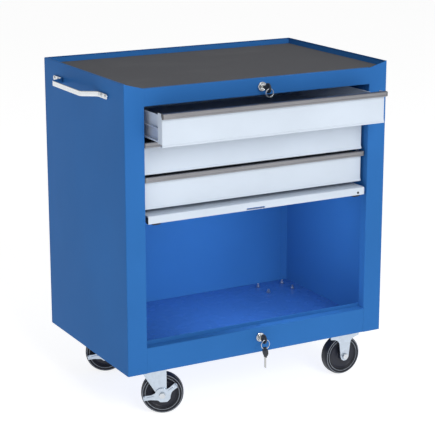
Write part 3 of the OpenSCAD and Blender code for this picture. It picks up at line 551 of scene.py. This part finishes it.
def wheel(corner):
    """A wheel in two parts turned about its axle: a rubber rim with two ribs round each side, the rib tops
    painted pale, partly as rubbed wear and partly as a painted highlight for light caught on the raised
    ribs, and a dished plastic centre with a hub."""
    joint = joints[corner + "_wheel_spin"]
    centre, axis = joint["pos_m"], joint["axis"]
    ribs = (39.4, 45.4)
    half_rim = [(34.6, 9.6), (36.0, 11.0), (38.2, 11.0), (38.8, 12.6), (40.0, 12.6), (40.6, 11.2),
                (44.2, 11.6), (44.8, 13.2), (46.0, 13.2), (46.6, 12.0), (47.8, 10.8), (49, 7.4)]
    both = half_rim + [(r, -h) for r, h in half_rim[::-1]]
    cut = np.array([0.3, 0.8, 0.4, 0.5, 0.5, 0.4, 0.4, 0.5, 0.5, 0.4, 1.0, 3.0])
    rim = eased(both, np.concatenate([cut, cut[::-1]]), 4)
    tyre = turned(corner + "_wheel_rim", rim * MM, centre, axis, TYRE, 112, 40)
    # Marks the rib tops that are painted pale: partly rubbed wear, partly a painted highlight.
    on_rib = [(np.abs(rim[:, 0] - r) < 0.75) & (np.abs(rim[:, 1]) > 12.0) for r in ribs]
    rib_sheen_and_wear = np.tile((on_rib[0] | on_rib[1]).astype(np.float32), len(tyre.data.vertices) // len(rim))
    tyre.data.attributes.new("rib_sheen_and_wear", "FLOAT", "POINT").data.foreach_set("value", rib_sheen_and_wear)
    half_core = [(4.06, 17.4), (8.6, 17.4), (10.6, 15.8), (11.6, 8.8), (13.6, 7.6), (30.6, 7.2),
                 (32.4, 8.4), (35.0, 9.4)]
    both = half_core + [(r, -h) for r, h in half_core[::-1]]
    cut = np.array([0.4, 1.0, 1.2, 1.6, 1.6, 1.2, 0.8, 0.3])
    core = eased(both, np.concatenate([cut, cut[::-1]]), 4) * MM
    middle = turned(corner + "_wheel_centre", core, centre, axis, HUB, 80, 40)
    dress(tyre, corner + "_wheel", "wheel_rubber", corner + "_wheel")
    dress(middle, corner + "_wheel", "black_plastic")


# ---- Casters -------------------------------------------------------------------------


def caster_axes(corner):
    """The axle's middle, the way along the wheel's plane that trails behind the pivot, and the axle's
    direction that points out to the brake side."""
    joint = joints[corner + "_wheel_spin"]
    out = np.array(joint["axis"], float)
    out /= np.linalg.norm(out)
    if out[1] > 0:
        out = -out
    return np.array(joint["pos_m"], float), np.cross(out, (0, 0, -1.0)), out


def pressed_plate(name, outline, centre, along, out, low, high, material, edge=0.5 * MM):
    """An outline (x, z) in the wheel's plane, P = centre + x along + z up, as a plate that reaches
    from low to high on the axle's line, with rounded edges."""
    flat = np.asarray(outline, float)
    at = np.asarray(centre) + flat[:, :1] * along + flat[:, 1:] * np.array([0, 0, 1.0])
    points = np.concatenate([at + h * np.asarray(out) for h in (low, high)])
    piece = made_piece(name, points, shell_faces(2, len(flat), False), material, 40)
    rounding = piece.modifiers.new("pressed edge", "BEVEL")
    rounding.width, rounding.segments, rounding.limit_method = edge, 3, "ANGLE"
    rounding.angle_limit = math.radians(50)
    return piece


def pressed_rib(name, start, end, out, width, height, material):
    """A bead pressed out of a plate from start to end: its section is half an ellipse,
    width wide and height high, and its ends taper off by sqrt(1 - (1 - s)^2)."""
    start, end, out = (np.asarray(v, float) for v in (start, end, out))
    length = np.linalg.norm(end - start)
    s = np.concatenate([np.linspace(0, width, 7), np.linspace(width, length - width, 3)[1:-1],
                        np.linspace(length - width, length, 7)])
    share = np.clip(np.minimum(s, length - s) / width, 0.03, 1)
    swell = np.sqrt(1 - (1 - share) ** 2)[:, None, None]
    way = (end - start) / length
    side = np.cross(way, out)
    a = np.linspace(0, np.pi, 9)[:, None]
    section = width / 2 * np.cos(a) * side + height * np.sin(a) * out
    base = start + s[:, None] * way - 0.2 * MM * out
    points = base[:, None] + swell * section
    return made_piece(name, points.reshape(-1, 3), shell_faces(len(s), len(section), False), material, 60)


def foot_brake(corner):
    """The brake lever: a pressed hub with two arms, a tab bent out at the end of each arm and a
    raised rib along it."""
    centre, along, out = caster_axes(corner)
    body = nodes[corner + "_brake_lever"]["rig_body"]
    low, high = 21.5 * MM, 24.0 * MM
    outline = [(35, 19), (29, 14.5), (22, 8), (19.5, 1), (18, -9), (11, -16.5), (-5, -17), (-10, -12.5),
               (-27, -11.5), (-41, -13.5), (-44, -10), (-44.5, -4), (-41, -1.5), (-27, 0), (-17, 4.5),
               (-14, 11), (-7.5, 16), (1, 17.5), (9, 15), (15, 17.5), (22, 24), (28, 29), (34, 28)]
    plate = pressed_plate(corner + "_brake_plate", eased(np.array(outline) * MM, 2.4 * MM, 4),
                          centre, along, out, low, high, CASTER, 0.6 * MM)
    dress(plate, body, "caster_steel", corner + "_brake_lever")
    up = np.array([0, 0, 1.0])
    for name, (x, z), turn in (("front", (-42.0, -7.5), 94), ("rear", (31.5, 23.5), -49)):
        c, s = math.cos(math.radians(turn)), math.sin(math.radians(turn))
        pad = eased(np.array([(-4.8, -1.2), (4.8, -1.2), (4.8, 1.2), (-4.8, 1.2)]) * MM, 1.1 * MM, 3)
        turned_pad = np.column_stack([x * MM + pad[:, 0] * c - pad[:, 1] * s,
                                      z * MM + pad[:, 0] * s + pad[:, 1] * c])
        tab = pressed_plate(f"{corner}_brake_tab_{name}", turned_pad, centre, along, out,
                            high - 1 * MM, high + 4.5 * MM, CASTER)
        dress(tab, body, "caster_steel")
        start = centre + (0.40 * x * along + 0.40 * z * up) * MM + high * out
        end = centre + (0.86 * x * along + 0.86 * z * up) * MM + high * out
        dress(pressed_rib(f"{corner}_brake_rib_{name}", start, end, out, 4.2 * MM, 1.1 * MM, CASTER),
              body, "caster_steel")


def fork_ribs(corner):
    """Beads pressed along the two upright edges of each leg of a swivel fork, lower than the gap
    between the leg and the brake lever."""
    centre, along, out = caster_axes(corner)
    leg_face, bottom = 21 * MM, 24 * MM
    body = nodes[corner + "_caster_fork"]["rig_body"]
    top = (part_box(corner + "_caster_fork")[1].z - centre[2]) - 9 * MM
    up = np.array([0, 0, 1.0])
    for side, face in (("near", out), ("far", -out)):
        for edge, x in (("leading", -13.8 * MM), ("trailing", 7.6 * MM)):
            start = centre + x * along + bottom * up + leg_face * face
            end = centre + x * along + top * up + leg_face * face
            bead = pressed_rib(f"{corner}_fork_rib_{edge}_{side}", start, end, face, 2.6 * MM,
                               0.4 * MM, CASTER)
            dress(bead, body, "caster_steel")


# ---- Door ----------------------------------------------------------------------------


def door_trim():
    """A plastic cover on each end of the door's folded edge, and a plug in its round hole."""
    low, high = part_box("door_panel")
    thick, back = 0.8 * MM, 9.5 * MM
    side = eased([(low.y + 0.9 * MM, low.z + 0.8 * MM), (low.y + back, low.z + 0.8 * MM),
                  (low.y + back, high.z - 3.2 * MM), (low.y + 0.9 * MM, high.z - 3.2 * MM)], 1.2 * MM, 4)
    for end, x in (("left", low.x - thick), ("right", high.x)):
        dress(run(f"door_end_cover_{end}", side, x, x + thick, PLASTIC), "door", "black_plastic")
    plug = [(0.02, -0.35), (1.8, -0.2), (2.85, 0.1), (2.85, 1.6), (0.02, 1.6)]
    centre = (high.x - 17 * MM, low.y, high.z - 12.5 * MM)
    dress(turned("door_hole_plug", eased(plug, [0.01, 0.5, 0.3, 0.3, 0.01], 4) * MM, centre,
                 (0, 1, 0), RUBBER, 32), "door", "black_rubber")


# ---- Putting the pieces on -----------------------------------------------------------

SHEET_PARTS = ["left_side_panel", "right_side_panel", "back_panel", "top_tray", "top_rail", "bottom_rail",
               "door_panel"] + [drawer + "_drawer_front" for drawer in DRAWERS]

ribbed_mat()
hand_strap()
door_trim()
for node in SHEET_PARTS:
    softened(node, 0.5 * MM, steps=2)
for drawer in DRAWERS:
    grip_rail(drawer)
for lock, body in (("drawer", "drawer_key_ring"), ("door", "door_key_ring")):
    lock_trim(lock)
    split_ring(lock, body)
    front_of_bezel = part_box(lock + "_lock_barrel")[0].y
    softened(lock + "_lock_key", 0.7 * MM,
             keyed(lock + " key", lambda x, y, z, at=front_of_bezel: y.over(at - 3.4 * MM)), 3)
    softened(lock + "_lock_plug", 0.25 * MM)
spare_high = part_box("door_spare_key")[1]
softened("door_spare_key", 0.7 * MM,
         keyed("spare key", lambda x, y, z: 1 - z.over(spare_high.z - 24.5 * MM)), 3)
for corner in ("front_left", "rear_left", "front_right", "rear_right"):
    wheel(corner)
for corner in ("front_left", "rear_left"):
    foot_brake(corner)
    fork_ribs(corner)
for node in ("front_left_caster_fork", "rear_left_caster_fork", "front_right_caster_fork",
             "rear_right_caster_fork", "front_left_caster_plate", "rear_left_caster_plate"):
    softened(node, 0.5 * MM, steps=2)
for node in ("front_left_caster_axle", "rear_left_caster_axle", "fixed_caster_axles", "caster_bolts",
             "handle_screws"):
    softened(node, 0.35 * MM, steps=2)


# ---- Floor, light and camera ---------------------------------------------------------


def floor():
    """A wide pale floor at the height the wheels stand on."""
    mesh = bpy.data.meshes.new("floor")
    half = 30.0
    corners = np.array([[-half, -half, 0], [half, -half, 0], [half, half, 0], [-half, half, 0]])
    mesh.from_pydata(corners.tolist(), [], [[0, 1, 2, 3]])
    piece = bpy.data.objects.new("floor", mesh)
    bpy.context.scene.collection.objects.link(piece)
    f = Finish("floor", roughness=1.0, specular_ior_level=0.0, emission_color=(1, 1, 1, 1),
               emission_strength=0.84)
    f.feed("Base Color", f.mixed(f.noise(0.4, 2), (0.44, 0.44, 0.44, 1), (0.46, 0.46, 0.46, 1)))
    coat(piece, f.material)


def lamp(name, place, target, size, power, tint=(1, 1, 1)):
    """A square soft box at place, facing target."""
    data = bpy.data.lights.new(name, "AREA")
    data.size, data.energy, data.color = size, power, tint
    piece = bpy.data.objects.new(name, data)
    piece.location = place
    piece.rotation_euler = (Vector(target) - Vector(place)).to_track_quat("-Z", "Y").to_euler()
    piece.visible_camera = False
    bpy.context.scene.collection.objects.link(piece)


def room():
    """White all round at eye level, dimmer overhead."""
    world = bpy.data.worlds.new("room")
    bpy.context.scene.world = world
    world.use_nodes = True
    nodes_of, links = world.node_tree.nodes, world.node_tree.links
    direction = nodes_of.new("ShaderNodeTexCoord")
    height = nodes_of.new("ShaderNodeSeparateXYZ")
    strength = nodes_of.new("ShaderNodeMapRange")
    strength.interpolation_type = "SMOOTHSTEP"
    for socket, value in (("From Min", 0.12), ("From Max", 0.32), ("To Min", 0.74), ("To Max", 0.25)):
        strength.inputs[socket].default_value = value
    links.new(direction.outputs["Generated"], height.inputs[0])
    links.new(height.outputs["Z"], strength.inputs["Value"])
    links.new(strength.outputs[0], nodes_of["Background"].inputs["Strength"])
    nodes_of["Background"].inputs["Color"].default_value = (1, 1, 1, 1)


floor()
middle = (0, 0, 0.4)
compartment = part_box("floor_pan")
lamp("front light", (-0.2, -3.8, 2.5), middle, 1.8, 84)
lamp("top light", (0.2, -0.6, 3.4), middle, 2.4, 18)
lamp("compartment light", (0.02, compartment[0].y + 0.06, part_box("door_panel")[0].z - 0.05),
     (0.16, compartment[1].y - 0.05, compartment[1].z + 0.12), 0.12, 1.2, (1, 0.88, 0.94))
room()

# The camera stands in front of the chest's left corner, a little above it, with a long lens.
camera_data = bpy.data.cameras.new("camera")
camera = bpy.data.objects.new("camera", camera_data)
bpy.context.scene.collection.objects.link(camera)
turn, tilt = math.radians(-29.0), math.radians(14.888)
back = Vector((math.sin(turn) * math.cos(tilt), -math.cos(turn) * math.cos(tilt), math.sin(tilt)))
camera.location = Vector((-1.678, -3.0355, 1.3289))
camera.rotation_euler = (-back).to_track_quat("-Z", "Y").to_euler()
camera_data.angle = math.radians(16.453)
bpy.context.scene.camera = camera
bpy.context.scene.view_settings.view_transform = "Standard"
